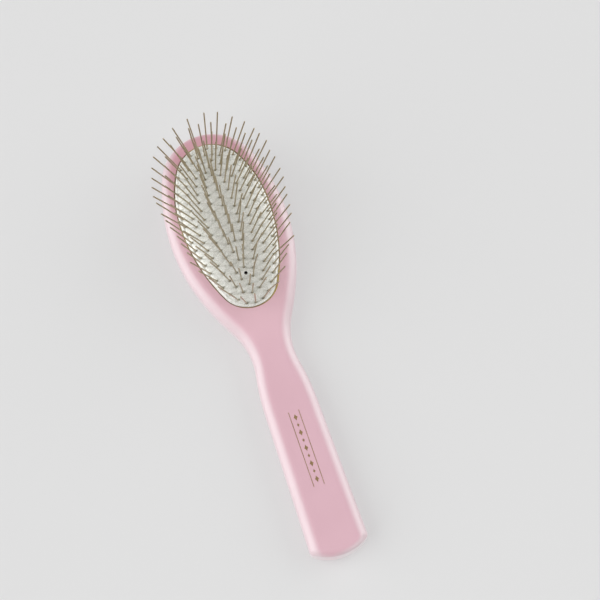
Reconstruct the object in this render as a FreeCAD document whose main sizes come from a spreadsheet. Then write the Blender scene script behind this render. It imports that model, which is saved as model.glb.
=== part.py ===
# Oval cushion pin brush for pets: one wooden body, a domed rubber cushion
# with its cloth backing, and 153 steel pins that each lean a few degrees off square.
# Millimetres, +Z up. The brush lies on its flat back with the pins up.
# Origin: middle of the back face. +Y towards the head, -Y towards the handle end.
import FreeCAD
import Part
import math
import os
import Sketcher

V = FreeCAD.Vector
ROT = FreeCAD.Rotation
doc = FreeCAD.newDocument("pet_pin_brush")

# ---------------------------------------------------------------- dimensions
CELLS = [
    # wooden body
    ("body_thickness", 13.0), ("shoulder_cut", 3.05), ("shoulder_round", 6.8), ("side_round", 3.4),
    ("back_round", 5.5), ("end_round", 3.0),
    # plan outline of the right half: points where its arcs meet, and their radii
    ("end_radius", 23.2), ("corner_x", 14.27813), ("corner_y", -110.08636),
    ("grip_x", 13.2854), ("grip_y", -38.05855),
    ("waist_x", 11.36644), ("waist_y", -18.98718), ("waist_radius", 121.5),
    ("throat_x", 15.3973), ("throat_y", 5.84459), ("throat_radius", 37.7),
    ("shoulder_x", 23.54342), ("shoulder_y", 23.09731), ("shoulder_radius", 159.2),
    ("flank_x", 30.80927), ("flank_y", 58.09651), ("flank_radius", 101.8),
    ("crown_x", 24.04308), ("crown_y", 98.37857), ("cheek_radius", 105.6), ("crown_radius", 25.7),
    # oval mouth of the cushion's seat: arc ends, their headings in degrees, and radii
    ("mouth_low_y", 13.5), ("mouth_high_y", 107.26498),
    ("mouth_x_a", 13.99053), ("mouth_y_a", 22.32804), ("mouth_turn_a", 64.504),
    ("mouth_x_b", 23.33275), ("mouth_y_b", 74.10949), ("mouth_turn_b", 95.0419),
    ("mouth_x_c", 16.4203), ("mouth_y_c", 97.40189), ("mouth_turn_c", 118.0166),
    ("mouth_radius_a", 15.5), ("mouth_radius_b", 99.9), ("mouth_radius_c", 61.0), ("mouth_radius_d", 18.6),
    ("lip_depth", 1.2), ("groove_height", 2.4), ("groove_out", 1.5), ("chamber_in", 1.9), ("chamber_depth", 4.2),
    # rubber cushion and its cloth
    ("cloth", 0.4), ("cloth_proud", 0.15), ("dome_top", 18.6), ("dome_cross_radius", 54.0), ("dome_long_radius", 214.0),
    ("dome_centre_y", 60.5), ("dome_edge_round", 0.35), ("skin", 2.0), ("rubber_wall", 1.1),
    ("vent_diameter", 1.7), ("vent_y", 31.0),
    # pins
    ("pin_diameter", 0.7), ("pin_length", 28.0), ("pin_tip_round", 0.3), ("pin_head_diameter", 1.6), ("pin_head_height", 0.35),
    ("pin_head_gap", 0.18),
]
sheet = doc.addObject("Spreadsheet::Sheet", "dims")
for row, (alias, value) in enumerate(CELLS, 1):
    sheet.set("A%d" % row, alias)
    sheet.set("B%d" % row, str(value))
    sheet.setAlias("B%d" % row, alias)
doc.recompute()
D = {alias: float(sheet.get(alias)) for alias, _ in CELLS}


def plane(body, role):
    for f in body.Origin.OriginFeatures:
        if f.Role == role:
            return f


# ------------------------------------------------------------------ sketches
def arc_between(a, b, r):
    """Circle arc from a to b, turning left for r > 0 and right for r < 0."""
    dx, dy = b[0] - a[0], b[1] - a[1]
    c = math.hypot(dx, dy)
    rr = abs(r)
    k = math.sqrt(max(rr * rr - c * c / 4.0, 0.0))
    s = 1.0 if r > 0 else -1.0
    cx = (a[0] + b[0]) / 2.0 - s * dy / c * k
    cy = (a[1] + b[1]) / 2.0 + s * dx / c * k
    t0 = math.atan2(a[1] - cy, a[0] - cx)
    t1 = math.atan2(b[1] - cy, b[0] - cx)
    if r > 0:
        return Part.ArcOfCircle(Part.Circle(V(cx, cy, 0), V(0, 0, 1), rr), t0, t1 if t1 > t0 else t1 + 2 * math.pi), 1, 2
    return Part.ArcOfCircle(Part.Circle(V(cx, cy, 0), V(0, 0, 1), rr), t1, t0 if t0 > t1 else t0 + 2 * math.pi), 2, 1


def symmetric_loop(sk, stations, radii, first, last):
    """Closed loop, symmetric about the sketch's Y axis.
    stations: right-hand points (x, y, x expression, y expression);
    radii: (value or None for a line, expression) between them; first and last cross the axis."""
    pts = [(s[0], s[1]) for s in stations]
    segs = [((-pts[0][0], pts[0][1]), pts[0], first)]
    segs += [(pts[i], pts[i + 1], radii[i]) for i in range(len(radii))]
    segs += [(pts[-1], (-pts[-1][0], pts[-1][1]), last)]
    mirrored = [((-pts[i + 1][0], pts[i + 1][1]), (-pts[i][0], pts[i][1]), radii[i]) for i in range(len(radii) - 1, -1, -1)]
    segs += mirrored
    ids = []
    for a, b, (r, expr) in segs:
        if r is None:
            g = sk.addGeometry(Part.LineSegment(V(a[0], a[1], 0), V(b[0], b[1], 0)), False)
            ids.append((g, 1, 2))
        else:
            geo, p0, p1 = arc_between(a, b, r)
            ids.append((sk.addGeometry(geo, False), p0, p1))
    n = len(segs)
    for i in range(n):
        g, _, e = ids[i]
        h, s, _ = ids[(i + 1) % n]
        sk.addConstraint(Sketcher.Constraint("Coincident", g, e, h, s))
    m = len(stations)
    for i, (x, y, ex, ey) in enumerate(stations):
        g, _, e = ids[i]                       # right-hand point i is the end of segment i
        c = sk.addConstraint(Sketcher.Constraint("DistanceX", -1, 1, g, e, x))
        sk.setExpression("Constraints[%d]" % c, ex)
        c = sk.addConstraint(Sketcher.Constraint("DistanceY", -1, 1, g, e, y))
        sk.setExpression("Constraints[%d]" % c, ey)
        j = (m + 1 + (m - 1 - i)) % n          # its mirror is the start of this segment
        h, s, _ = ids[j]
        sk.addConstraint(Sketcher.Constraint("Symmetric", g, e, h, s, -2))
    for i in range(len(radii) + 2):
        r, expr = segs[i][2]
        if r is not None:
            c = sk.addConstraint(Sketcher.Constraint("Radius", ids[i][0], abs(r)))
            sk.setExpression("Constraints[%d]" % c, expr)
    for i in range(len(radii)):
        a, b = ids[1 + i], ids[n - 1 - i]
        if radii[i][0] is not None:
            sk.addConstraint(Sketcher.Constraint("Equal", a[0], b[0]))


def outline_loop(sk):
    st = [(D[a + "_x"], D[a + "_y"], "dims.%s_x" % a, "dims.%s_y" % a)
          for a in ("corner", "grip", "waist", "throat", "shoulder", "flank", "crown")]
    rad = [(None, ""), (D["waist_radius"], "dims.waist_radius"), (-D["throat_radius"], "dims.throat_radius"),
           (D["shoulder_radius"], "dims.shoulder_radius"), (D["flank_radius"], "dims.flank_radius"),
           (D["cheek_radius"], "dims.cheek_radius")]
    symmetric_loop(sk, st, rad, (D["end_radius"], "dims.end_radius"), (D["crown_radius"], "dims.crown_radius"))


def mouth_loop(sk, off, expr):
    """Oval of the cushion's seat, grown by off (negative shrinks it)."""
    st = []
    for k in "abc":
        t = math.radians(D["mouth_turn_" + k])
        st.append((D["mouth_x_" + k] + off * math.sin(t), D["mouth_y_" + k] - off * math.cos(t),
                   "dims.mouth_x_%s + (%s) * sin(dims.mouth_turn_%s)" % (k, expr, k),
                   "dims.mouth_y_%s - (%s) * cos(dims.mouth_turn_%s)" % (k, expr, k)))
    r = {k: (D["mouth_radius_" + k] + off, "dims.mouth_radius_%s + (%s)" % (k, expr)) for k in "abcd"}
    symmetric_loop(sk, st, [r["b"], r["c"]], r["a"], r["d"])


def body_sketch(body, name, z, zexpr):
    sk = body.newObject("Sketcher::SketchObject", name)
    sk.AttachmentSupport = (plane(body, "XY_Plane"), [""])
    sk.MapMode = "FlatFace"
    sk.AttachmentOffset = FreeCAD.Placement(V(0, 0, z), ROT())
    if zexpr:
        sk.setExpression("AttachmentOffset.Base.z", zexpr)
    return sk


def flat_edges(shape, z, past=-109.9):
    """Names of the edges lying in the plane z, but for those at the handle's end."""
    out = []
    for i, e in enumerate(shape.Edges, 1):
        b = e.BoundBox
        if abs(b.ZMin - z) < 1e-5 and abs(b.ZMax - z) < 1e-5 and b.YMax > past:
            out.append("Edge%d" % i)
    return out


# ---------------------------------------------------------------- wooden body
wood = doc.addObject("PartDesign::Body", "brush_body")
wood.Label = "brush_body"
sk = body_sketch(wood, "outline", 0.0, "")
outline_loop(sk)
blank = wood.newObject("PartDesign::Pad", "blank")
blank.Profile = sk
blank.setExpression("Length", "dims.body_thickness")
doc.recompute()
v_blank = blank.Shape.Volume

T = D["body_thickness"]
# a broad shoulder: bevelled, then rounded gently into the face and tightly into the side
shoulder = wood.newObject("PartDesign::Chamfer", "shoulder_bevel")
shoulder.Base = (blank, flat_edges(blank.Shape, T))
shoulder.setExpression("Size", "dims.shoulder_cut")
doc.recompute()
side_edge = wood.newObject("PartDesign::Fillet", "side_edge")
side_edge.Base = (shoulder, flat_edges(shoulder.Shape, T - D["shoulder_cut"]))
side_edge.setExpression("Radius", "dims.side_round")
doc.recompute()
face_edge = wood.newObject("PartDesign::Fillet", "face_edge")
face_edge.Base = (side_edge, flat_edges(side_edge.Shape, T))
face_edge.setExpression("Radius", "dims.shoulder_round")
doc.recompute()
back_edge = wood.newObject("PartDesign::Fillet", "back_edge")
back_edge.Base = (face_edge, flat_edges(face_edge.Shape, 0.0))
back_edge.setExpression("Radius", "dims.back_round")
doc.recompute()
end_face = [f for f in back_edge.Shape.Faces
            if f.Surface.TypeId == "Part::GeomCylinder" and abs(f.Surface.Radius - D["end_radius"]) < 1e-6
            and f.BoundBox.YMax < -105]
names = []
for i, e in enumerate(back_edge.Shape.Edges, 1):
    if any(e.isSame(k) for k in end_face[0].OuterWire.Edges):
        names.append("Edge%d" % i)
end_edge = wood.newObject("PartDesign::Fillet", "end_edge")
end_edge.Base = (back_edge, names)
end_edge.setExpression("Radius", "dims.end_round")
doc.recompute()
v_round = end_edge.Shape.Volume

GT = T - D["lip_depth"]                       # top of the undercut groove
GB = GT - D["groove_height"]                  # ledge on which the cushion's flange sits
sk = body_sketch(wood, "mouth", T, "dims.body_thickness")
mouth_loop(sk, 0.0, "0")
mouth = wood.newObject("PartDesign::Pocket", "mouth_cut")
mouth.Profile = sk
mouth.setExpression("Length", "dims.lip_depth")
doc.recompute()
v_mouth = mouth.Shape.Volume
sk = body_sketch(wood, "groove", GT, "dims.body_thickness - dims.lip_depth")
mouth_loop(sk, D["groove_out"], "dims.groove_out")
groove = wood.newObject("PartDesign::Pocket", "groove_cut")
groove.Profile = sk
groove.setExpression("Length", "dims.groove_height")
doc.recompute()
v_groove = groove.Shape.Volume
sk = body_sketch(wood, "chamber", GB, "dims.body_thickness - dims.lip_depth - dims.groove_height")
mouth_loop(sk, -D["chamber_in"], "-dims.chamber_in")
chamber = wood.newObject("PartDesign::Pocket", "chamber_cut")
chamber.Profile = sk
chamber.setExpression("Length", "dims.chamber_depth")
doc.recompute()
v_chamber = chamber.Shape.Volume
assert v_blank > v_round > v_mouth > v_groove > v_chamber, "a cut missed the wood"


# ------------------------------------------------- helpers for the soft parts
def oval_prism(name, off, expr, z0, z0expr, height, hexpr):
    sk = doc.addObject("Sketcher::SketchObject", name + "_oval")
    mouth_loop(sk, off, expr)
    ex = doc.addObject("Part::Extrusion", name)
    ex.Base = sk
    ex.DirMode = "Custom"
    ex.Dir = V(0, 0, 1)
    ex.Solid = True
    ex.LengthFwd = height
    ex.setExpression("LengthFwd", hexpr)
    ex.Placement = FreeCAD.Placement(V(0, 0, z0), ROT())
    ex.setExpression("Placement.Base.z", z0expr)
    return ex


def dome(name, depth, dexpr):
    """Crown of the cushion, sunk by depth: the outside of a lying ring."""
    t = doc.addObject("Part::Torus", name)
    t.setExpression("Radius1", "dims.dome_long_radius - dims.dome_cross_radius")
    t.setExpression("Radius2", "dims.dome_cross_radius - (%s)" % dexpr)
    t.Placement = FreeCAD.Placement(V(0, D["dome_centre_y"], D["dome_top"] - D["dome_long_radius"]), ROT(V(0, 1, 0), 90))
    t.setExpression("Placement.Base.y", "dims.dome_centre_y")
    t.setExpression("Placement.Base.z", "dims.dome_top - dims.dome_long_radius")
    return t


def combine(kind, name, parts):
    o = doc.addObject(kind, name)
    if kind in ("Part::MultiFuse", "Part::MultiCommon"):
        o.Shapes = parts
    else:
        o.Base, o.Tool = parts
    return o


# ---------------------------------------------------------------------- pins
# Half of the pin layout, as (x, y) from the middle of the dome: five oval rings,
# staggered by half a pitch, each closed towards the handle by a pin on the axis.
RINGS = [
    [(0, -44.8), (4.3, -43.9), (7.8, -41.0), (10.7, -37.1), (13.0, -32.7), (14.9, -28.2), (16.6, -23.5),
     (17.9, -18.8), (18.9, -14.1), (19.8, -9.4), (20.5, -4.6), (21.0, 0.1), (21.1, 4.8), (21.1, 9.5),
     (20.8, 14.2), (20.3, 18.9), (19.5, 23.5), (18.3, 28.0), (16.5, 32.4), (14.0, 36.4), (10.8, 39.8),
     (6.9, 42.3), (2.4, 43.6)],
    [(0, -39.6), (4.3, -38.3), (6.8, -34.6), (8.8, -30.6), (10.6, -26.1), (12.1, -21.4), (13.3, -16.7),
     (14.3, -12.0), (15.1, -7.4), (15.7, -2.7), (15.9, 2.2), (16.1, 7.0), (16.0, 11.7), (15.7, 16.4),
     (15.1, 21.1), (14.2, 25.8), (12.7, 30.2), (10.4, 34.3), (7.3, 37.6), (3.8, 39.2), (0, 39.8)],
    [(0, -35.2), (3.0, -31.9), (4.4, -28.0), (5.8, -23.4), (7.1, -18.9), (8.3, -14.5), (9.3, -9.9),
     (10.2, -5.2), (10.7, -0.6), (11.0, 4.1), (11.1, 9.2), (10.9, 14.1), (10.4, 18.8), (9.5, 23.6),
     (8.2, 28.1), (6.0, 32.3), (2.5, 35.6)],
    [(0, -26.4), (1.4, -22.0), (2.6, -17.3), (3.6, -12.4), (4.3, -7.7), (4.9, -2.8), (5.4, 1.8),
     (5.6, 6.4), (5.5, 11.2), (5.3, 16.3), (4.9, 21.1), (4.1, 25.6), (2.6, 29.4), (0, 32.0)],
    [(0, -11.9), (0, -6.6), (0, -1.7), (0, 3.4), (0, 8.4), (0, 13.2), (0, 17.7), (0, 22.4), (0, 27.0)],
]
# How far each pin leans from square to the dome, towards +X and +Y, in thousandths.
# Same order as the rings, each pair's right-hand pin first: the soft cushion lets
# them stand a few degrees off, and no two quite alike.
LEANS = [
    [(-50, -10), (-10, -50), (-60, -25), (-10, -85), (-35, -25), (10, -15), (-15, -10), (-10, 25), (10, 15),
     (-35, -15), (-15, 10), (25, -65), (-15, 25), (-45, -5), (65, 15), (-15, -30), (75, 15), (-40, -55),
     (95, -5), (-65, -45), (70, 0), (-75, -80), (60, -30), (-45, -75), (25, -70), (-50, -85), (0, -25),
     (-45, -25), (-35, -70), (-70, -70), (-35, -80), (-10, -40), (-30, -95), (-25, -55), (-40, -85), (20, -105),
     (-50, -65), (35, -90), (-60, -65), (25, -80), (-95, -90), (15, -15), (-90, -60), (25, -10), (-35, -35)],
    [(-20, -50), (-10, -70), (-5, -30), (-20, -55), (10, -5), (-20, -35), (-15, -10), (-10, -70), (-20, -5),
     (0, -70), (15, -30), (-10, -75), (-20, -25), (-5, -60), (0, -30), (-5, -70), (-40, -55), (30, -95),
     (-45, -25), (45, -120), (-40, -65), (20, -70), (-55, -80), (40, -90), (-50, -80), (40, -100), (-70, -70),
     (50, -105), (-35, -75), (30, -85), (-45, -65), (40, -95), (-60, -80), (50, -105), (-30, -65), (65, -110),
     (-55, -85), (5, -75), (10, -65), (-10, -65)],
    [(-15, -65), (-45, -20), (-10, -40), (-30, -60), (-30, -50), (-40, -30), (-40, -55), (25, -90), (-10, -45),
     (30, -75), (-35, -40), (0, -80), (-25, -55), (5, -90), (-20, -80), (0, -80), (-35, -75), (5, -95),
     (-25, -80), (30, -120), (-30, -60), (45, -135), (-10, -95), (55, -155), (5, -75), (45, -125), (-35, -110),
     (15, -95), (-55, -125), (55, -115), (-70, -115), (35, -125), (-75, -105)],
    [(-30, -55), (-60, -60), (-25, -70), (-40, -65), (-35, -60), (-35, -70), (-25, -90), (-20, -90), (-5, -90),
     (-30, -75), (10, -100), (10, -125), (-25, -95), (-20, -100), (-10, -110), (5, -130), (-15, -125),
     (0, -125), (5, -120), (25, -105), (0, -115), (30, -125), (-30, -125), (35, -110), (-15, -130),
     (-25, -125)],
    [(-40, -70), (-40, -85), (-35, -110), (-25, -125), (-20, -120), (-40, -120), (-40, -125), (-20, -120),
     (-45, -145)],
]
RC, RL = D["dome_cross_radius"], D["dome_long_radius"]


def dome_point(x, y):
    """Point of the cushion's outside over (x, y), and its outward normal."""
    rho = (RL - RC) + math.sqrt(RC * RC - x * x)          # distance from the long axis
    z = D["dome_top"] - RL + math.sqrt(rho * rho - y * y)
    a = math.asin(y / rho)
    nx, nr = x / RC, math.sqrt(1 - (x / RC) ** 2)
    return V(x, y + D["dome_centre_y"], z), V(nx, nr * math.sin(a), nr * math.cos(a))


def pin_axis(n, lean):
    """Direction of a pin on the dome's normal n, leaned."""
    v = V(n.x + lean[0] / 1000.0, n.y + lean[1] / 1000.0, n.z)
    return v / v.Length


pins = []
for ring, leans in zip(RINGS, LEANS):
    spots = [(sx * x, y) for x, y in ring for sx in ((1,) if x == 0 else (1, -1))]
    assert len(spots) == len(leans), "a pin has no lean"
    pins += [(y, x, lean) for (x, y), lean in zip(spots, leans)]
pins.sort()
ROWS = 19
rows = [[] for _ in range(ROWS)]
y_low, y_high = pins[0][0], pins[-1][0]
for y, x, lean in pins:
    rows[min(ROWS - 1, int((y - y_low) / (y_high - y_low) * ROWS))].append((x, y, lean))

# One pin, turned about Z: flat head under the cloth, plain wire, rounded tip.
pin = doc.addObject("PartDesign::Body", "pin_pattern")
pin.Label = "pin_pattern"
sk = pin.newObject("Sketcher::SketchObject", "pin_profile")
sk.AttachmentSupport = (plane(pin, "XZ_Plane"), [""])
sk.MapMode = "FlatFace"
r, rh, L, tr = D["pin_diameter"] / 2, D["pin_head_diameter"] / 2, D["pin_length"], D["pin_tip_round"]
deep = D["skin"] + D["cloth"] + D["pin_head_gap"]   # a leaning head clears the curved cloth
P = [(0, -deep - D["pin_head_height"]), (rh, -deep - D["pin_head_height"]), (rh, -deep), (r, -deep), (r, L - tr), (r - tr, L), (0, L)]
for a, b in zip(P[:4], P[1:5]):
    sk.addGeometry(Part.LineSegment(V(a[0], a[1], 0), V(b[0], b[1], 0)), False)
sk.addGeometry(Part.ArcOfCircle(Part.Circle(V(r - tr, L - tr, 0), V(0, 0, 1), tr), 0, math.pi / 2), False)
sk.addGeometry(Part.LineSegment(V(P[5][0], P[5][1], 0), V(P[6][0], P[6][1], 0)), False)
sk.addGeometry(Part.LineSegment(V(P[6][0], P[6][1], 0), V(P[0][0], P[0][1], 0)), False)
for i in range(7):
    sk.addConstraint(Sketcher.Constraint("Coincident", i, 2, (i + 1) % 7, 1))
sk.addConstraint(Sketcher.Constraint("Horizontal", 0))
sk.addConstraint(Sketcher.Constraint("Vertical", 1))
sk.addConstraint(Sketcher.Constraint("Horizontal", 2))
sk.addConstraint(Sketcher.Constraint("Vertical", 3))
sk.addConstraint(Sketcher.Constraint("Horizontal", 5))
sk.addConstraint(Sketcher.Constraint("Vertical", 6))
sk.addConstraint(Sketcher.Constraint("PointOnObject", 0, 1, -2))
for kind, args, value, expr in [
        ("DistanceX", (-1, 1, 0, 2), rh, "dims.pin_head_diameter / 2"),
        ("DistanceX", (-1, 1, 3, 2), r, "dims.pin_diameter / 2"),
        ("DistanceY", (1, 2, -1, 1), deep, "dims.skin + dims.cloth + dims.pin_head_gap"),
        ("DistanceY", (1, 1, 1, 2), D["pin_head_height"], "dims.pin_head_height"),
        ("DistanceY", (-1, 1, 5, 2), L, "dims.pin_length"),
        ("DistanceY", (-1, 1, 3, 2), L - tr, "dims.pin_length - dims.pin_tip_round"),
        ("DistanceX", (-1, 1, 5, 1), r - tr, "dims.pin_diameter / 2 - dims.pin_tip_round"),
        ("Radius", (4,), tr, "dims.pin_tip_round")]:
    c = sk.addConstraint(Sketcher.Constraint(kind, *args, value))
    sk.setExpression("Constraints[%d]" % c, expr)
turned = pin.newObject("PartDesign::Revolution", "pin_turned")
turned.Profile = sk
turned.ReferenceAxis = (sk, ["V_Axis"])
turned.Angle = 360
doc.recompute()

row_objects = []
for i, row in enumerate(rows, 1):
    shapes = []
    for x, y, lean in row:
        p, n = dome_point(x, y)
        s = pin.Shape.copy()
        s.Placement = FreeCAD.Placement(p, ROT(V(0, 0, 1), pin_axis(n, lean)))
        shapes.append(s)
    o = doc.addObject("Part::Feature", "pins_row_%02d" % i)
    o.Label = "pins_row_%02d" % i
    o.Shape = Part.makeCompound(shapes)
    o.Placement = FreeCAD.Placement(V(0, 0, 0), ROT())
    row_objects.append(o)

# Holes for the pins: bores of the pin's own diameter, on the pin's axis.
bores = []
for y, x, lean in pins:
    p, n = dome_point(x, y)
    v = pin_axis(n, lean)
    bores.append(Part.makeCylinder(r, deep + 2.0, p - v * (deep + 1.0), v))
pin_bores = doc.addObject("Part::Feature", "pin_bores")
pin_bores.Shape = Part.makeCompound(bores)

# ------------------------------------------------------------ rubber cushion
face = "dims.body_thickness"
ledge = "dims.body_thickness - dims.lip_depth - dims.groove_height"
E0 = "-dims.cloth"
neck = oval_prism("cushion_neck", -D["cloth"], E0, GB + D["cloth"], ledge + " + dims.cloth", 12.0, "12")
crown = combine("Part::MultiCommon", "cushion_crown", [neck, dome("dome_outside", 0.0, "0")])
doc.recompute()
rim_edges = [i for i, e in enumerate(crown.Shape.Edges, 1) if e.BoundBox.ZMin > T]
soft_rim = doc.addObject("Part::Fillet", "cushion_rounded")
soft_rim.Base = crown
soft_rim.Edges = [(i, D["dome_edge_round"], D["dome_edge_round"]) for i in rim_edges]
flange = oval_prism("cushion_flange", D["groove_out"] - D["cloth"], "dims.groove_out - dims.cloth",
                    GB + D["cloth"], ledge + " + dims.cloth", D["groove_height"] - 2 * D["cloth"], "dims.groove_height - 2 * dims.cloth")
envelope = combine("Part::MultiFuse", "cushion_envelope", [soft_rim, flange])
hollow_prism = oval_prism("cushion_hollow_oval", -D["cloth"] - D["rubber_wall"], "-dims.cloth - dims.rubber_wall", GB - 1.0, ledge + " - 1", 14.0, "14")
hollow = combine("Part::MultiCommon", "cushion_hollow", [hollow_prism, dome("dome_inside", D["skin"], "dims.skin")])
shell = combine("Part::Cut", "cushion_shell", [envelope, hollow])
vent = doc.addObject("Part::Cylinder", "vent")
vent.setExpression("Radius", "dims.vent_diameter / 2")
vent.Height = 14
vent.Placement = FreeCAD.Placement(V(0, D["vent_y"], 8.0), ROT())
vent.setExpression("Placement.Base.y", "dims.vent_y")
shell_vented = combine("Part::Cut", "cushion_vented", [shell, vent])
cushion = combine("Part::Cut", "rubber_cushion", [shell_vented, pin_bores])
cushion.Label = "rubber_cushion"

# --------------------------------------- cloth backing, wrapped round the flange
wrap_low = oval_prism("cloth_wrap_flange", D["groove_out"], "dims.groove_out", GB, ledge, D["groove_height"], "dims.groove_height")
wrap_high = oval_prism("cloth_wrap_neck", 0.0, "0", GB, ledge, T + D["cloth_proud"] - GB, "dims.lip_depth + dims.groove_height + dims.cloth_proud")
lined = oval_prism("cloth_lined_oval", -D["cloth"] - D["rubber_wall"], "-dims.cloth - dims.rubber_wall", GB, ledge, 12.0, "12")
lined_dome = combine("Part::MultiCommon", "cloth_lined", [lined, dome("dome_lined", D["skin"], "dims.skin")])
wrap = combine("Part::MultiFuse", "cloth_outer", [wrap_low, wrap_high, lined_dome])
cloth_cut = combine("Part::Cut", "cloth_less_rubber", [wrap, shell])
inner_prism = oval_prism("cloth_inner_oval", -D["cloth"] * 2 - D["rubber_wall"], "-2 * dims.cloth - dims.rubber_wall", GB - 1.0, ledge + " - 1", 14.0, "14")
inner = combine("Part::MultiCommon", "cloth_inner", [inner_prism, dome("dome_cloth", D["skin"] + D["cloth"], "dims.skin + dims.cloth")])
cloth_hollow = combine("Part::Cut", "cloth_hollowed", [cloth_cut, inner])
cloth_vented = combine("Part::Cut", "cloth_vented", [cloth_hollow, vent])
cloth = combine("Part::Cut", "cushion_backing", [cloth_vented, pin_bores])
cloth.Label = "cushion_backing"

doc.recompute()

# ------------------------------------------------------------- check and write
for o in doc.Objects:
    bad = [s for s in o.State if s in ("Invalid", "Error")]
    if bad:
        raise RuntimeError("%s: %s" % (o.Name, bad))
nodes = [wood, cushion, cloth] + row_objects
os.makedirs("parts", exist_ok=True)
for o in nodes:
    s = o.Shape
    if s.isNull() or not s.isValid() or s.Volume <= 0:
        raise RuntimeError("%s: bad shape" % o.Label)
for o in nodes:
    o.Shape.exportStep("parts/%s.step" % o.Label)
    b = o.Shape.BoundBox
    print("%-18s solids %3d  volume %9.1f  x %.2f..%.2f  y %.2f..%.2f  z %.2f..%.2f" % (
        o.Label, len(o.Shape.Solids), o.Shape.Volume, b.XMin, b.XMax, b.YMin, b.YMax, b.ZMin, b.ZMax))
print("pins", len(pins))
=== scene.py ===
import math
import bpy
import numpy as np
from mathutils import Matrix, Vector


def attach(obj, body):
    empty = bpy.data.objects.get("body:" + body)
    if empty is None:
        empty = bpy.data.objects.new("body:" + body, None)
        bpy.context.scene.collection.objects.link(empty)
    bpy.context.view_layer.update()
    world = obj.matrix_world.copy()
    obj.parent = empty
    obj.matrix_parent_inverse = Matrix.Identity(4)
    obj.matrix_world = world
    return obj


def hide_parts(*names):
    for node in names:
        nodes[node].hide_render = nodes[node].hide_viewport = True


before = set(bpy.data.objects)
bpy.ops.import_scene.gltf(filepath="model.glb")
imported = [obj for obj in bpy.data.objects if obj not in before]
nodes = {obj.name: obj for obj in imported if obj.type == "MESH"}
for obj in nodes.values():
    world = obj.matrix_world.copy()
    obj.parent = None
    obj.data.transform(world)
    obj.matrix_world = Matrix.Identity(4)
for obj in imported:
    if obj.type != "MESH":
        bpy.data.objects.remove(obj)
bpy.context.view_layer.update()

MM = 0.001
scene = bpy.context.scene

# ------------------------------------------------------------ shared geometry
# The oval mouth of the seat (arc ends and radii, mm) and the dome of the cushion.
ARCS = [(15.5, 64.504), (99.9, 95.0419), (61.0, 118.0166), (18.6, 180.0)]
MOUTH_LOW = 13.5
DOME_TOP, DOME_R, DOME_L, DOME_Y = 18.6, 54.0, 214.0, 60.5
FACE = 13.0
VENT_Y, VENT_R = 31.0, 0.85
RINGS = [
    [(0, -44.8), (4.3, -43.9), (7.8, -41.0), (10.7, -37.1), (13.0, -32.7), (14.9, -28.2), (16.6, -23.5),
     (17.9, -18.8), (18.9, -14.1), (19.8, -9.4), (20.5, -4.6), (21.0, 0.1), (21.1, 4.8), (21.1, 9.5),
     (20.8, 14.2), (20.3, 18.9), (19.5, 23.5), (18.3, 28.0), (16.5, 32.4), (14.0, 36.4), (10.8, 39.8),
     (6.9, 42.3), (2.4, 43.6)],
    [(0, -39.6), (4.3, -38.3), (6.8, -34.6), (8.8, -30.6), (10.6, -26.1), (12.1, -21.4), (13.3, -16.7),
     (14.3, -12.0), (15.1, -7.4), (15.7, -2.7), (15.9, 2.2), (16.1, 7.0), (16.0, 11.7), (15.7, 16.4),
     (15.1, 21.1), (14.2, 25.8), (12.7, 30.2), (10.4, 34.3), (7.3, 37.6), (3.8, 39.2), (0, 39.8)],
    [(0, -35.2), (3.0, -31.9), (4.4, -28.0), (5.8, -23.4), (7.1, -18.9), (8.3, -14.5), (9.3, -9.9),
     (10.2, -5.2), (10.7, -0.6), (11.0, 4.1), (11.1, 9.2), (10.9, 14.1), (10.4, 18.8), (9.5, 23.6),
     (8.2, 28.1), (6.0, 32.3), (2.5, 35.6)],
    [(0, -26.4), (1.4, -22.0), (2.6, -17.3), (3.6, -12.4), (4.3, -7.7), (4.9, -2.8), (5.4, 1.8),
     (5.6, 6.4), (5.5, 11.2), (5.3, 16.3), (4.9, 21.1), (4.1, 25.6), (2.6, 29.4), (0, 32.0)],
    [(0, -11.9), (0, -6.6), (0, -1.7), (0, 3.4), (0, 8.4), (0, 13.2), (0, 17.7), (0, 22.4), (0, 27.0)],
]
PINS = np.array([(sx * x, y + DOME_Y) for ring in RINGS for x, y in ring for sx in ((1,) if x == 0 else (1, -1))])


def dome_z(x, y, sunk=0.0):
    """Height of the cushion's dome over (x, y) in mm, sunk by so much."""
    rho = (DOME_L - DOME_R) + np.sqrt(np.maximum((DOME_R - sunk) ** 2 - x * x, 1.0))
    return DOME_TOP - DOME_L + np.sqrt(rho * rho - (y - DOME_Y) ** 2)


def oval(step):
    """The mouth oval, anticlockwise from its lowest point: points, outward normals
    and the distance along each inward normal to the mid-plane (all mm)."""
    pts, nrm, core = [], [], []
    p, t0 = np.array([0.0, MOUTH_LOW]), 0.0
    for r, deg in ARCS:
        t1 = math.radians(deg)
        c = p - r * np.array([math.sin(t0), -math.cos(t0)])
        n = max(4, int(round(r * (t1 - t0) / step)))
        for t in np.linspace(t0, t1, n + 1)[:-1]:
            v = np.array([math.sin(t), -math.cos(t)])
            q = c + r * v
            pts.append(q)
            nrm.append(v)
            core.append(q[0] / v[0] if v[0] > 1e-9 else ARCS[0][0])
        p, t0 = c + r * np.array([math.sin(t1), -math.cos(t1)]), t1
    pts.append(p)
    nrm.append(np.array([0.0, 1.0]))
    core.append(ARCS[-1][0])
    pts, nrm, core = np.array(pts), np.array(nrm), np.array(core)
    left = slice(len(pts) - 2, 0, -1)
    flip = np.array([-1.0, 1.0])
    return (np.vstack([pts, pts[left] * flip]), np.vstack([nrm, nrm[left] * flip]), np.concatenate([core, core[left]]))


def smooth(e, a, b):
    u = np.clip((e - a) / (b - a), 0.0, 1.0)
    return u * u * (3 - 2 * u)


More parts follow.
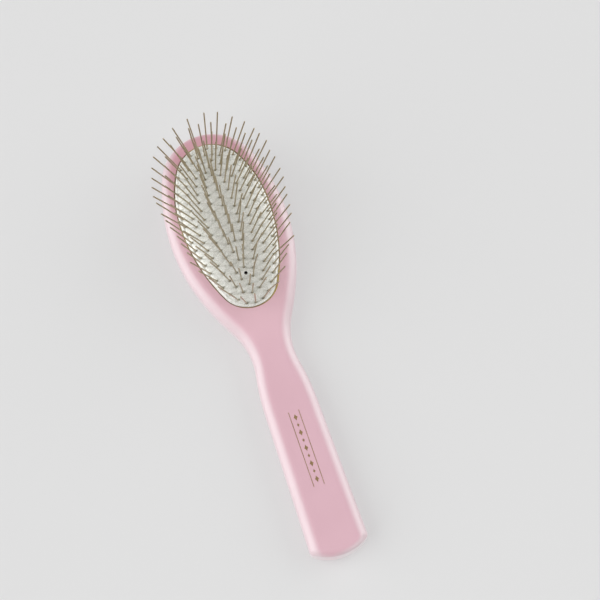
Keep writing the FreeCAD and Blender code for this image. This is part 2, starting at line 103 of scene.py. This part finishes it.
def mesh_object(name, verts, faces, merge=0.0, sharp=None):
    me = bpy.data.meshes.new(name)
    me.from_pydata([tuple(v) for v in verts], [], faces)
    if merge:
        import bmesh
        bm = bmesh.new()
        bm.from_mesh(me)
        bmesh.ops.remove_doubles(bm, verts=bm.verts, dist=merge)
        bmesh.ops.dissolve_degenerate(bm, edges=bm.edges, dist=1e-9)
        bmesh.ops.recalc_face_normals(bm, faces=bm.faces)
        bm.to_mesh(me)
        bm.free()
    for p in me.polygons:
        p.use_smooth = True
    if sharp is not None:
        me.set_sharp_from_angle(angle=math.radians(sharp))
    ob = bpy.data.objects.new(name, me)
    scene.collection.objects.link(ob)
    return ob


def loft(rings, closed_ends=False):
    """Vertices and quads of a tube of rings (arrays of n points each)."""
    n = len(rings[0])
    verts = np.vstack(rings)
    faces = []
    for k in range(len(rings) - 1):
        a, b = k * n, (k + 1) * n
        i = np.arange(n)
        j = (i + 1) % n
        faces.append(np.stack([a + i, a + j, b + j, b + i], 1))
    return verts, np.vstack(faces)


def edge_width(P):
    """Width of the cloth's cut edge between wood and rubber (mm), uneven round the oval."""
    s = np.arange(len(P)) / len(P) * 2 * math.pi
    w = 0.56 + 0.05 * np.sin(5 * s + 0.8) + 0.04 * np.sin(11 * s + 2.0) + 0.025 * np.sin(23 * s)
    d2 = ((P[:, 0] - 14.5) / 7.0) ** 2 + ((P[:, 1] - 23.5) / 10.0) ** 2
    return w + 0.34 * np.exp(-d2)


# ------------------------------------------------------------ rubber cushion
rng = np.random.default_rng(7)
PIN_DIP = 0.9 + 0.2 * rng.random(len(PINS))


def row_folds():
    """Pairs of neighbouring pins that stand side by side, with the strength of the fold between them."""
    out = []
    for i in range(len(PINS)):
        for j in range(len(PINS)):
            d = PINS[j] - PINS[i]
            if 0.5 < d[0] < 7.2 and abs(d[1]) < 0.62 * d[0]:
                out.append((i, j, 0.7 + 0.5 * rng.random()))
    return out


FOLDS = row_folds()


def relief(x, y):
    """Height added to the bare dome (mm): the rubber is drawn in round each pin,
    folds shallowly between neighbours and stands up a little between the rows."""
    h = np.full(x.shape, 0.13)
    for (px, py), k in zip(PINS, PIN_DIP):
        near = (np.abs(x - px) < 5) & (np.abs(y - py) < 5)
        r2 = (x[near] - px) ** 2 + (y[near] - py) ** 2
        h[near] -= k * (0.16 * np.exp(-r2 / 1.6 ** 2) + 0.42 * np.exp(-r2 / 0.62 ** 2))
        # a short lateral dent each side of the pin
        h[near] -= k * 0.14 * np.exp(-((x[near] - px) / 1.5) ** 2 - ((y[near] - py) / 0.42) ** 2)
    for i, j, k in FOLDS:
        a, b = PINS[i], PINS[j]
        near = (x > a[0] - 1) & (x < b[0] + 1) & (np.abs(y - (a[1] + b[1]) / 2) < 4)
        qx, qy = x[near] - a[0], y[near] - a[1]
        d = b - a
        L = math.hypot(*d)
        t = np.clip((qx * d[0] + qy * d[1]) / L ** 2, 0, 1)
        # the fold sags a little towards the handle between its pins
        r = (-qx * d[1] + qy * d[0]) / L + 0.35 * 4 * t * (1 - t)
        side = np.exp(-(r / 0.40) ** 2)
        h[near] -= 0.085 * k * side * np.minimum(1.0, 4 * t * (1 - t) + 0.15)
    r2 = x ** 2 + (y - VENT_Y) ** 2
    h -= 0.05 * np.exp(-r2 / 1.5 ** 2)
    return h


def pin_shade_share(x, y):
    """Share of painted shade in the dents round the pins and along the folds between neighbouring pins, 0 to 1."""
    g = np.zeros(x.shape)
    for (px, py), k in zip(PINS, PIN_DIP):
        near = (np.abs(x - px) < 3) & (np.abs(y - py) < 2)
        s = -np.sign(px) * min(1.0, abs(px) / 4.0)           # side of the dent's deep lip
        dx, dy = x[near] - px, y[near] - py
        # painted shade on the deep lip of each pin's dent, with a short tail towards the middle
        spot = np.exp(-((dx - 0.22 * s) / 0.62) ** 2 - ((dy - 0.06) / 0.42) ** 2)
        tail = 0.42 * np.exp(-((dx - 0.95 * s) / 0.85) ** 2 - ((dy - 0.22) / 0.30) ** 2)
        g[near] = np.maximum(g[near], k * np.maximum(spot, tail))
    for i, j, k in FOLDS:
        a, b = PINS[i], PINS[j]
        near = (x > a[0] - 1) & (x < b[0] + 1) & (np.abs(y - (a[1] + b[1]) / 2) < 4)
        qx, qy = x[near] - a[0], y[near] - a[1]
        d = b - a
        L = math.hypot(*d)
        t = (qx * d[0] + qy * d[1]) / L ** 2
        r = (-qx * d[1] + qy * d[0]) / L + 0.35 * 4 * np.clip(t, 0, 1) * (1 - np.clip(t, 0, 1))
        # painted shade along the fold between two neighbouring pins
        line = 0.16 * k * np.exp(-(r / 0.30) ** 2) * ((t > 0) & (t < 1))
        g[near] = np.maximum(g[near], line)
    return np.clip(g, 0, 1)


def build_cushion():
    P, N, C = oval(0.31)
    rings = []

    def ring(off, z):
        q = P + N * off
        return np.column_stack([q, np.full(len(q), z)])

    # inside of the dome, from the middle outwards, then the wall, flange and neck
    for f in np.linspace(1.0, 0.0, 12):
        inset = 1.5 + f * (C - 1.5)
        q = P - N * inset[:, None]
        z = dome_z(q[:, 0], q[:, 1], 2.0)
        rings.append(np.column_stack([q, z]))
    rings.append(ring(-1.5, 9.85))
    rings.append(ring(-1.4, 9.8))
    rings.append(ring(1.0, 9.8))
    rings.append(ring(1.1, 9.9))
    rings.append(ring(1.1, 11.3))
    rings.append(ring(1.0, 11.4))
    rings.append(ring(-0.36, 11.42))
    rings.append(ring(-0.42, 11.5))
    rings.append(ring(-0.42, 12.1))
    W = edge_width(P) + 0.03
    q = P - N * W[:, None]
    rings.append(np.column_stack([q, np.full(len(q), 12.4)]))
    rings.append(np.column_stack([q, np.full(len(q), 12.75)]))
    # visible outside: e is the distance in from the neck's wall
    e_fix = [0.0, 0.03, 0.09, 0.18, 0.30, 0.44, 0.60, 0.78, 0.96, 1.14, 1.32, 1.50, 1.68, 1.88, 2.10]
    steps = 72
    for k in range(len(e_fix) + steps):
        if k < len(e_fix):
            inset = W + e_fix[k]
        else:
            f = (k - len(e_fix) + 1) / steps
            inset = (W + e_fix[-1]) + f * (C - W - e_fix[-1])
        q = P - N * inset[:, None]
        e = inset - W
        z = dome_z(q[:, 0], q[:, 1]) + relief(q[:, 0], q[:, 1]) * smooth(e, 0.2, 1.6)
        # rounded shoulder, a low border bead and the faint crease inside it
        z -= 0.34 * (1 - np.sqrt(1 - (1 - np.clip(e / 0.5, 0, 1)) ** 2))
        z += 0.16 * np.exp(-((e - 0.85) / 0.5) ** 2) - 0.13 * np.exp(-((e - 1.75) / 0.28) ** 2)
        rings.append(np.column_stack([q, z]))
    verts, faces = loft(rings)
    return mesh_object("cushion_rubber", verts * MM, faces.tolist(), merge=2e-6)


cushion = build_cushion()

# ------------------------------------------------- cloth backing and its edge
def build_backing():
    P, N, C = oval(0.45)
    n = len(P)
    s = np.arange(n) / n * 2 * math.pi
    wob = 0.035 * np.sin(31 * s + 0.6) + 0.03 * np.sin(53 * s + 2.1) + 0.02 * np.sin(97 * s)
    rings = []

    def ring(off, z):
        q = P + N * np.broadcast_to(off, (n,))[:, None]
        return np.column_stack([q, np.broadcast_to(z, (n,))])

    # outer side, from under the dome down, out round the flange and up to the cut edge
    for f in np.linspace(1.0, 0.0, 12):
        inset = 1.9 + f * (C - 1.9)
        q = P - N * inset[:, None]
        rings.append(np.column_stack([q, dome_z(q[:, 0], q[:, 1], 2.4)]))
    for off, z in [(-1.9, 9.5), (-1.8, 9.42), (1.4, 9.42), (1.48, 9.5), (1.48, 11.7), (1.4, 11.78), (0.0, 11.78), (-0.02, 11.9), (-0.02, 12.5)]:
        rings.append(ring(off, z))
    top = FACE - 0.02 + 0.7 * wob
    W = edge_width(P)
    for f, dz in [(0.03, 0.0), (0.06, 0.07), (0.14, 0.115), (0.30, 0.135), (0.50, 0.12), (0.70, 0.135), (0.86, 0.10), (0.97, 0.02), (1.0, -0.10)]:
        rings.append(ring(-f * W, top + dz))
    rings.append(ring(-W, 12.45))
    for off, z in [(-0.41, 12.15), (-0.41, 11.48), (-0.36, 11.41), (1.02, 11.41), (1.11, 11.3), (1.11, 9.88), (1.0, 9.79), (-1.42, 9.79), (-1.51, 9.86)]:
        rings.append(ring(off, z))
    for f in np.linspace(0.0, 1.0, 12):
        inset = 1.51 + f * (C - 1.51)
        q = P - N * inset[:, None]
        rings.append(np.column_stack([q, dome_z(q[:, 0], q[:, 1], 2.01)]))
    verts, faces = loft(rings)
    return mesh_object("cushion_cloth", verts * MM, faces.tolist(), merge=2e-6)


cloth = build_backing()


def open_vent(ob, radius, sharp):
    """A round hole through a piece, cut with a cylinder."""
    bpy.ops.mesh.primitive_cylinder_add(vertices=40, radius=radius * MM, depth=0.012, location=(0, VENT_Y * MM, 0.0165))
    cutter = bpy.context.active_object
    mod = ob.modifiers.new("vent", "BOOLEAN")
    mod.operation = "DIFFERENCE"
    mod.solver = "EXACT"
    mod.object = cutter
    dg = bpy.context.evaluated_depsgraph_get()
    me = bpy.data.meshes.new_from_object(ob.evaluated_get(dg))
    ob.modifiers.clear()
    old = ob.data
    ob.data = me
    bpy.data.meshes.remove(old)
    bpy.data.objects.remove(cutter)
    for p in ob.data.polygons:
        p.use_smooth = True
    ob.data.set_sharp_from_angle(angle=math.radians(sharp))


open_vent(cushion, VENT_R, 50)
open_vent(cloth, VENT_R + 0.05, 60)


co = np.empty(len(cushion.data.vertices) * 3)
cushion.data.vertices.foreach_get("co", co)
co = co.reshape(-1, 3) / MM
outside = co[:, 2] > dome_z(co[:, 0], co[:, 1]) - 1.0
# painted shade round the pins and along the folds, kept on the rubber's outer vertices
layer = cushion.data.attributes.new("pin_shade_share", "FLOAT", "POINT")
layer.data.foreach_set("value", np.where(outside, pin_shade_share(co[:, 0], co[:, 1]), 0.0))


def inner_faces(ob, keep_out):
    """Indices of the faces that lie inside the skin or in the wall of the vent."""
    out = []
    for p in ob.data.polygons:
        x, y, z = p.center / MM
        in_vent = math.hypot(x, y - VENT_Y) < VENT_R + 0.06 and abs(p.normal.z) < 0.6
        if in_vent or (keep_out and z < dome_z(x, y) - 1.0 and z > 9.0 and p.normal.z < 0.5 and z > 12.8):
            out.append(p.index)
    return out


# ----------------------------------------------------------- stamped gilt mark
def build_mark():
    """Plain gilt ornament on the handle: a row of small lozenges between two fine lines."""
    verts, faces = [], []
    zb, zt = FACE - 0.004, FACE + 0.022

    def prism(pts):
        a = len(verts)
        m = len(pts)
        verts.extend([(x, y, zb) for x, y in pts] + [(x, y, zt) for x, y in pts])
        faces.append(list(range(a + m, a + 2 * m)))
        faces.append(list(range(a + m - 1, a - 1, -1)))
        for i in range(m):
            j = (i + 1) % m
            faces.append([a + i, a + j, a + m + j, a + m + i])

    y0, y1 = -81.0, -43.0
    count = 9
    for k in range(count):
        y = y0 + 3.2 + (y1 - y0 - 6.4) * k / (count - 1)
        big = 1.0 if k % 2 == 0 else 0.62
        a, b = 1.05 * big, 1.65 * big
        side = 5
        pts = []
        for (xa, ya), (xb, yb) in [((a, 0), (0, b)), ((0, b), (-a, 0)), ((-a, 0), (0, -b)), ((0, -b), (a, 0))]:
            for i in range(side):
                t = i / side
                bow = 0.16 * big * 4 * t * (1 - t)            # sides drawn in a little
                x, yy = xa + (xb - xa) * t, ya + (yb - ya) * t
                L = math.hypot(x, yy) or 1.0
                pts.append((x - bow * x / L, y + yy - bow * yy / L))
        prism(pts)
    for x in (-2.55, 2.55):
        w, cap = 0.16, 6
        pts = [(x + w * math.cos(math.pi * i / cap), y1 + w * math.sin(math.pi * i / cap)) for i in range(cap + 1)]
        pts += [(x + w * math.cos(math.pi + math.pi * i / cap), y0 + w * math.sin(math.pi + math.pi * i / cap)) for i in range(cap + 1)]
        prism(pts)
    me = bpy.data.meshes.new("gilt_mark")
    me.from_pydata([(x * MM, y * MM, z * MM) for x, y, z in verts], [], faces)
    ob = bpy.data.objects.new("gilt_mark", me)
    scene.collection.objects.link(ob)
    return ob


mark = build_mark()


# ------------------------------------------------------------------ materials
def material(name):
    m = bpy.data.materials.new(name)
    m.use_nodes = True
    nt = m.node_tree
    nt.nodes.clear()
    out = nt.nodes.new("ShaderNodeOutputMaterial")
    bsdf = nt.nodes.new("ShaderNodeBsdfPrincipled")
    nt.links.new(bsdf.outputs[0], out.inputs[0])
    coord = nt.nodes.new("ShaderNodeTexCoord")
    return m, nt, bsdf, coord.outputs["Object"]


def noise(nt, co, scale, detail=3.0, rough=0.55, squash=None):
    n = nt.nodes.new("ShaderNodeTexNoise")
    n.inputs["Scale"].default_value = scale
    n.inputs["Detail"].default_value = detail
    n.inputs["Roughness"].default_value = rough
    if squash:
        mp = nt.nodes.new("ShaderNodeMapping")
        mp.inputs["Scale"].default_value = squash
        nt.links.new(co, mp.inputs["Vector"])
        co = mp.outputs[0]
    nt.links.new(co, n.inputs["Vector"])
    return n.outputs["Fac"]


def ramp(nt, fac, stops):
    r = nt.nodes.new("ShaderNodeValToRGB")
    el = r.color_ramp.elements
    while len(el) < len(stops):
        el.new(0.5)
    for e, (p, c) in zip(el, stops):
        e.position = p
        e.color = (*c, 1.0) if len(c) == 3 else c
    nt.links.new(fac, r.inputs[0])
    return r.outputs[0]


def spread(nt, fac, lo, hi, a=0.3, b=0.7):
    m = nt.nodes.new("ShaderNodeMapRange")
    m.inputs["From Min"].default_value = a
    m.inputs["From Max"].default_value = b
    m.inputs["To Min"].default_value = lo
    m.inputs["To Max"].default_value = hi
    nt.links.new(fac, m.inputs["Value"])
    return m.outputs[0]


def bump(nt, bsdf, height, strength, distance, under=None):
    b = nt.nodes.new("ShaderNodeBump")
    b.inputs["Strength"].default_value = strength
    b.inputs["Distance"].default_value = distance
    nt.links.new(height, b.inputs["Height"])
    if under is not None:
        nt.links.new(under, b.inputs["Normal"])
    nt.links.new(b.outputs[0], bsdf.inputs["Normal"])
    return b.outputs[0]


def mix(nt, fac, a, b):
    m = nt.nodes.new("ShaderNodeMix")
    m.data_type = "RGBA"
    for s, v in ((m.inputs[0], fac), (m.inputs[6], a), (m.inputs[7], b)):
        if isinstance(v, bpy.types.NodeSocket):
            nt.links.new(v, s)
        elif isinstance(v, tuple):
            s.default_value = (*v, 1.0)
        else:
            s.default_value = v
    return m.outputs[2]


# satin pastel lacquer
lacquer, nt, bs, co = material("pink_lacquer")
tone = noise(nt, co, 28.0, 2.0)
full = ramp(nt, tone, [(0.35, (0.730, 0.450, 0.516)), (0.65, (0.760, 0.476, 0.544))])
# painted shade: darker, rosier pink towards the head's far end
painted_shade_pink = ramp(nt, tone, [(0.35, (0.645, 0.339, 0.398)), (0.65, (0.671, 0.359, 0.420))])
# painted light: paler pink from the throat up over the head
painted_light_pink = ramp(nt, tone, [(0.35, (0.778, 0.490, 0.558)), (0.65, (0.806, 0.516, 0.586))])
place = nt.nodes.new("ShaderNodeSeparateXYZ")
nt.links.new(co, place.inputs[0])
# painted light makes the pink paler from the throat upwards
full = mix(nt, spread(nt, place.outputs["Y"], 0.0, 1.0, -0.020, 0.006), full, painted_light_pink)
# painted shade darkens the pink towards the head's far end
full = mix(nt, spread(nt, place.outputs["Y"], 0.0, 1.0, 0.066, 0.102), full, painted_shade_pink)
# painted highlight: paler pink where the surface faces sideways and towards the right-front corner
painted_highlight_pink = ramp(nt, tone, [(0.35, (0.735, 0.568, 0.604)), (0.65, (0.760, 0.592, 0.630))])
facing = nt.nodes.new("ShaderNodeTexCoord").outputs["Normal"]
axes = nt.nodes.new("ShaderNodeSeparateXYZ")
nt.links.new(facing, axes.inputs[0])
side = nt.nodes.new("ShaderNodeMath")
side.operation = "ABSOLUTE"
nt.links.new(axes.outputs["X"], side.inputs[0])
corner = nt.nodes.new("ShaderNodeVectorMath")
corner.operation = "DOT_PRODUCT"
corner.inputs[1].default_value = (0.90, -0.44, 0.0)
nt.links.new(facing, corner.inputs[0])
highlight_share = nt.nodes.new("ShaderNodeMath")
highlight_share.operation = "MAXIMUM"
nt.links.new(side.outputs[0], highlight_share.inputs[0])
nt.links.new(corner.outputs["Value"], highlight_share.inputs[1])
# the pink turns paler on the sides and the right-front corner, a painted highlight
nt.links.new(mix(nt, spread(nt, highlight_share.outputs[0], 0.0, 1.0, 0.14, 0.52), full, painted_highlight_pink), bs.inputs["Base Color"])
nt.links.new(spread(nt, noise(nt, co, 420.0, 3.0), 0.36, 0.46), bs.inputs["Roughness"])
bs.inputs["IOR"].default_value = 1.5
bs.inputs["Specular IOR Level"].default_value = 0.2
bs.inputs["Coat Weight"].default_value = 1.0
bs.inputs["Coat Roughness"].default_value = 0.34
bs.inputs["Coat IOR"].default_value = 1.55
bs.inputs["Sheen Weight"].default_value = 0.6
bs.inputs["Sheen Roughness"].default_value = 0.4
first = bump(nt, bs, noise(nt, co, 160.0, 2.0), 0.10, 0.0004)
bump(nt, bs, noise(nt, co, 1400.0, 2.0), 0.05, 0.00008, first)

# silvery rubber
rubber, nt, bs, co = material("silver_rubber")
grain = noise(nt, co, 2300.0, 4.0, 0.65)
coarse = noise(nt, co, 1150.0, 2.0, 0.5)
blotch = noise(nt, co, 330.0, 3.0, 0.6)
base = ramp(nt, grain, [(0.35, (0.68, 0.68, 0.63)), (0.49, (0.925, 0.93, 0.88)), (0.62, (1.0, 1.0, 0.975))])
tint = ramp(nt, blotch, [(0.35, (0.92, 0.92, 0.905)), (0.65, (1.0, 1.0, 1.0))])
clump = ramp(nt, coarse, [(0.36, (0.90, 0.90, 0.89)), (0.60, (1.0, 1.0, 1.0))])


def times(nt, a, b):
    m = nt.nodes.new("ShaderNodeMix")
    m.data_type = "RGBA"
    m.blend_type = "MULTIPLY"
    m.inputs[0].default_value = 1.0
    nt.links.new(a, m.inputs[6])
    nt.links.new(b, m.inputs[7])
    return m.outputs[2]


# painted shade: the stored share darkens the rubber round the pins and along the folds
pin_shade_attr = nt.nodes.new("ShaderNodeAttribute")
pin_shade_attr.attribute_name = "pin_shade_share"
pin_shade_darkening = ramp(nt, pin_shade_attr.outputs["Fac"], [(0.0, (1.0, 1.0, 1.0)), (0.5, (0.60, 0.60, 0.55)), (1.0, (0.22, 0.215, 0.185))])
nt.links.new(times(nt, times(nt, times(nt, base, tint), clump), pin_shade_darkening), bs.inputs["Base Color"])
bs.inputs["Metallic"].default_value = 0.12
nt.links.new(spread(nt, grain, 0.30, 0.46), bs.inputs["Roughness"])
first = bump(nt, bs, grain, 0.22, 0.0002)
bump(nt, bs, blotch, 0.25, 0.0004, first)

# near-black painted shade for the inside of the rubber and for the walls of the vent through rubber and cloth
shade_black, nt, bs, co = material("painted_shade_black")
nt.links.new(ramp(nt, noise(nt, co, 900.0, 3.0), [(0.3, (0.006, 0.006, 0.005)), (0.7, (0.014, 0.013, 0.012))]), bs.inputs["Base Color"])
bs.inputs["Roughness"].default_value = 0.8

# woven cloth edge
woven, nt, bs, co = material("tan_cloth")
w = nt.nodes.new("ShaderNodeTexWave")
w.wave_type = "BANDS"
w.bands_direction = "DIAGONAL"
w.inputs["Scale"].default_value = 900.0
w.inputs["Distortion"].default_value = 1.5
w.inputs["Detail"].default_value = 2.0
nt.links.new(co, w.inputs["Vector"])
fibre = noise(nt, co, 1800.0, 4.0, 0.7)
# golden colour round a point on the lower right of the edge is a painted highlight; golden patches from noise elsewhere
# are random tone
spot = nt.nodes.new("ShaderNodeVectorMath")
spot.operation = "DISTANCE"
spot.inputs[1].default_value = (0.0145, 0.0235, 0.013)
nt.links.new(co, spot.inputs[0])
near = spread(nt, spot.outputs["Value"], 1.0, 0.0, 0.006, 0.016)
highlight_and_tone_mask = nt.nodes.new("ShaderNodeMath")
highlight_and_tone_mask.operation = "MAXIMUM"
nt.links.new(near, highlight_and_tone_mask.inputs[0])
nt.links.new(spread(nt, noise(nt, co, 45.0, 2.0), 0.0, 0.75, 0.5, 0.68), highlight_and_tone_mask.inputs[1])
brown = ramp(nt, w.outputs["Fac"], [(0.2, (0.155, 0.085, 0.036)), (0.8, (0.29, 0.185, 0.085))])
golden = ramp(nt, w.outputs["Fac"], [(0.2, (0.40, 0.285, 0.045)), (0.8, (0.62, 0.47, 0.12))])
c1 = mix(nt, highlight_and_tone_mask.outputs[0], brown, golden)
c2 = ramp(nt, fibre, [(0.3, (0.70, 0.66, 0.58)), (0.7, (1.0, 1.0, 1.0))])
m = nt.nodes.new("ShaderNodeMix")
m.data_type = "RGBA"
m.blend_type = "MULTIPLY"
m.inputs[0].default_value = 1.0
nt.links.new(c1, m.inputs[6])
nt.links.new(c2, m.inputs[7])
nt.links.new(m.outputs[2], bs.inputs["Base Color"])
bs.inputs["Roughness"].default_value = 0.62
bs.inputs["Sheen Weight"].default_value = 0.3
bs.inputs["Sheen Roughness"].default_value = 0.5
first = bump(nt, bs, w.outputs["Fac"], 0.5, 0.00015)
bump(nt, bs, fibre, 0.4, 0.0001, first)

# drawn steel wire
steel, nt, bs, co = material("pin_steel")
draw = noise(nt, co, 900.0, 3.0, 0.6, (1.0, 1.0, 0.06))
nt.links.new(ramp(nt, draw, [(0.3, (0.46, 0.39, 0.265)), (0.7, (0.57, 0.49, 0.345))]), bs.inputs["Base Color"])
bs.inputs["Metallic"].default_value = 1.0
nt.links.new(spread(nt, noise(nt, co, 2600.0, 3.0), 0.30, 0.46), bs.inputs["Roughness"])
bump(nt, bs, draw, 0.12, 0.00005)

# gilt foil
foil, nt, bs, co = material("gilt_foil")
nt.links.new(ramp(nt, noise(nt, co, 1500.0, 4.0, 0.7), [(0.3, (0.46, 0.29, 0.135)), (0.7, (0.74, 0.52, 0.27))]), bs.inputs["Base Color"])
bs.inputs["Metallic"].default_value = 0.85
nt.links.new(spread(nt, noise(nt, co, 2500.0, 3.0), 0.32, 0.5), bs.inputs["Roughness"])
bump(nt, bs, noise(nt, co, 2200.0, 3.0), 0.15, 0.00004)


def wear(ob, mat):
    ob.data.materials.clear()
    ob.data.materials.append(mat)
    for p in ob.data.polygons:
        p.material_index = 0


for name, ob in nodes.items():
    if name == "brush_body":
        wear(ob, lacquer)
    elif name.startswith("pins_row_"):
        wear(ob, steel)
wear(cushion, rubber)
wear(cloth, woven)
# faces inside the skin and in the vent's wall get the near-black painted shade
for ob, keep_out in ((cushion, True), (cloth, False)):
    ob.data.materials.append(shade_black)
    for i in inner_faces(ob, keep_out):
        ob.data.polygons[i].material_index = 1
wear(mark, foil)

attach(cushion, "root")
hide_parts("rubber_cushion")
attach(cloth, "root")
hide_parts("cushion_backing")
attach(mark, "root")

# ------------------------------------------------------- floor, light, camera
bpy.ops.mesh.primitive_plane_add(size=40.0, location=(0, 0, -0.00005))
floor = bpy.context.active_object
floor.name = "floor"
ground, nt, bs, co = material("pale_floor")
nt.links.new(ramp(nt, noise(nt, co, 1.3, 2.0), [(0.3, (0.385, 0.385, 0.385)), (0.7, (0.40, 0.40, 0.40))]), bs.inputs["Base Color"])
bs.inputs["Roughness"].default_value = 0.9
bs.inputs["Specular IOR Level"].default_value = 0.05
bs.inputs["Emission Color"].default_value = (1.0, 1.0, 1.0, 1.0)
bs.inputs["Emission Strength"].default_value = 0.365
wear(floor, ground)

world = bpy.data.worlds.new("studio")
scene.world = world
world.use_nodes = True
bg = world.node_tree.nodes["Background"]
bg.inputs[0].default_value = (1.0, 1.0, 1.0, 1.0)
bg.inputs[1].default_value = 0.24


def panel(name, x, y, wide, high, radiance, diffuse=True, gloss=True):
    """An upright softbox beside the table, facing it, from the table's level up."""
    d = bpy.data.lights.new(name, "AREA")
    d.shape = "RECTANGLE"
    d.size, d.size_y = wide, high
    d.energy = radiance * math.pi * wide * high
    o = bpy.data.objects.new(name, d)
    o.location = (x, y, high / 2)
    o.rotation_mode = "QUATERNION"
    o.rotation_quaternion = Vector((-x, -y if abs(y) > abs(x) else 0.0, 0.0)).to_track_quat("-Z", "Y")
    o.visible_diffuse = diffuse
    o.visible_glossy = gloss
    scene.collection.objects.link(o)
    return o


panel("left_fill", -3.6, 0.15, 5.9, 7.2, 2.08, gloss=False)
panel("right_fill", 3.6, 0.15, 5.9, 4.9, 1.61, gloss=False)
panel("left_gloss", -3.63, 2.0, 3.9, 6.1, 2.12, diffuse=False)
panel("right_gloss", 3.63, 2.0, 3.9, 3.9, 2.50, diffuse=False)
panel("front_gloss", 2.7, -4.0, 4.2, 3.6, 1.5, diffuse=False)

top = bpy.data.objects.new("top_fill", bpy.data.lights.new("top_fill", "AREA"))
top.data.shape = "SQUARE"
top.data.size = 6.6
top.data.energy = 0.5 * math.pi * 6.6 ** 2
top.location = (0.0, 0.0, 5.3)
top.visible_glossy = False
scene.collection.objects.link(top)

cam_data = bpy.data.cameras.new("camera")
cam = bpy.data.objects.new("camera", cam_data)
scene.collection.objects.link(cam)
cam_data.sensor_fit = "HORIZONTAL"
cam_data.sensor_width = 36.0
cam_data.lens = 83.99
cam_data.clip_start, cam_data.clip_end = 0.01, 50.0
right, up, back = Vector((0.947859, -0.318599, -0.007608)), Vector((0.299749, 0.883163, 0.360796)), Vector((-0.108230, -0.344265, 0.932614))
rot = Matrix((right, up, back)).transposed()
cam.matrix_world = Matrix.Translation((-0.05356, -0.22745, 0.65642)) @ rot.to_4x4()
scene.camera = cam

scene.view_settings.view_transform = "Standard"
scene.view_settings.look = "None"
scene.view_settings.exposure = 0.0
